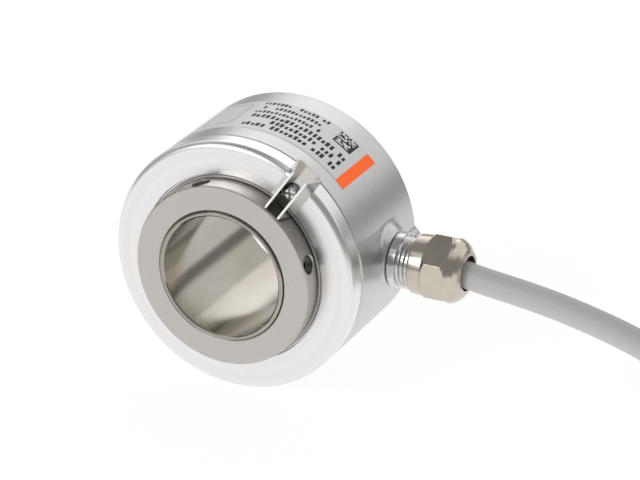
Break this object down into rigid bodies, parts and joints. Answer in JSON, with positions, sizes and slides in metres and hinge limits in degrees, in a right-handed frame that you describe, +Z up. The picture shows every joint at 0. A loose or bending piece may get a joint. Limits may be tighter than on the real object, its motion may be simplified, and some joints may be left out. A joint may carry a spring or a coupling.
{
  "type": "rotary encoder",
  "caption": "Hollow-shaft rotary encoder with clamping ring, sheet torque stop, flanged metal housing, printed foil label, side cable gland and cable.",
  "frame": {"origin": "on the spin axis, in the plane of the flange's front face", "axes": "+Y runs along the spin axis from the clamping ring to the rear wall, +X along the cable gland, +Z up; the encoder lies on its side"},
  "size_m": [0.182, 0.0971, 0.0581],
  "materials": {
    "polished_steel": "finely turned and polished",
    "stainless": "turned, fine grain",
    "black_steel": "blackened",
    "bearing_steel": "ground and polished",
    "spring_steel": "rolled sheet, bright cut edges",
    "zinc_steel": "bright zinc plated",
    "turned_aluminium": "fine turned, satin",
    "disc_glass": "clear with a printed line pattern",
    "cage_brass": "pressed",
    "post_brass": "turned",
    "black_rubber": "moulded, matt",
    "board_laminate": "solder mask",
    "chip_plastic": "moulded",
    "connector_plastic": "moulded",
    "label_foil": "silver foil with print",
    "gland_nickel": "nickel plated",
    "clamp_plastic": "moulded",
    "core_insulation": "extruded",
    "cable_grey": "extruded, satin",
    "tie_plastic": "woven strap"
  },
  "bodies": {
    "stator": {"flange": "turned_aluminium", "housing": "turned_aluminium", "seal_cover": "stainless", "front_seal": "black_rubber", "front_bearing_outer": "bearing_steel", "wave_spring": "spring_steel", "rear_bearing_outer": "bearing_steel", "bore_circlip": "spring_steel", "rear_seal": "black_rubber", "housing_o_ring": "black_rubber", "housing_screws": "zinc_steel", "standoffs": "post_brass", "circuit_board": "board_laminate", "board_screws": "zinc_steel", "board_parts": "chip_plastic", "board_connector": "connector_plastic", "sensor_block": "chip_plastic", "lamp_block": "chip_plastic", "label": "label_foil", "torque_stop": "spring_steel", "torque_stop_screw": "zinc_steel", "gland_body": "gland_nickel", "gland_o_ring": "black_rubber", "gland_seal": "black_rubber", "gland_clamp": "clamp_plastic", "gland_nut": "gland_nickel", "cable_core_leads": "core_insulation", "cable_stub": "cable_grey", "cable": "cable_grey", "cable_coil": "cable_grey", "cable_tail": "cable_grey", "coil_ties": "tie_plastic", "cable_end_cores": "core_insulation"},
    "rotor": {"hollow_shaft": "polished_steel", "clamping_ring": "stainless", "set_screws": "black_steel", "front_bearing_inner": "bearing_steel", "rear_bearing_inner": "bearing_steel", "inner_spacer": "polished_steel", "shaft_circlip": "spring_steel", "disc_hub": "turned_aluminium", "code_disc": "disc_glass"},
    "front_ball_set": {"front_balls": "bearing_steel", "front_cage": "cage_brass"},
    "rear_ball_set": {"rear_balls": "bearing_steel", "rear_cage": "cage_brass"}
  },
  "joints": [
    {"name": "shaft_spin", "type": "hinge", "parent": "stator", "child": "rotor", "pos_m": [0, 0, 0], "axis": [0, 1, 0], "continuous": true},
    {"name": "front_balls_spin", "type": "hinge", "parent": "stator", "child": "front_ball_set", "pos_m": [0, 0.00675, 0], "axis": [0, 1, 0], "continuous": true},
    {"name": "rear_balls_spin", "type": "hinge", "parent": "stator", "child": "rear_ball_set", "pos_m": [0, 0.01475, 0], "axis": [0, 1, 0], "continuous": true}
  ],
  "couplings": [
    {"joint": "front_balls_spin", "follows": "shaft_spin", "ratio": 0.4514},
    {"joint": "rear_balls_spin", "follows": "shaft_spin", "ratio": 0.4514}
  ]
}
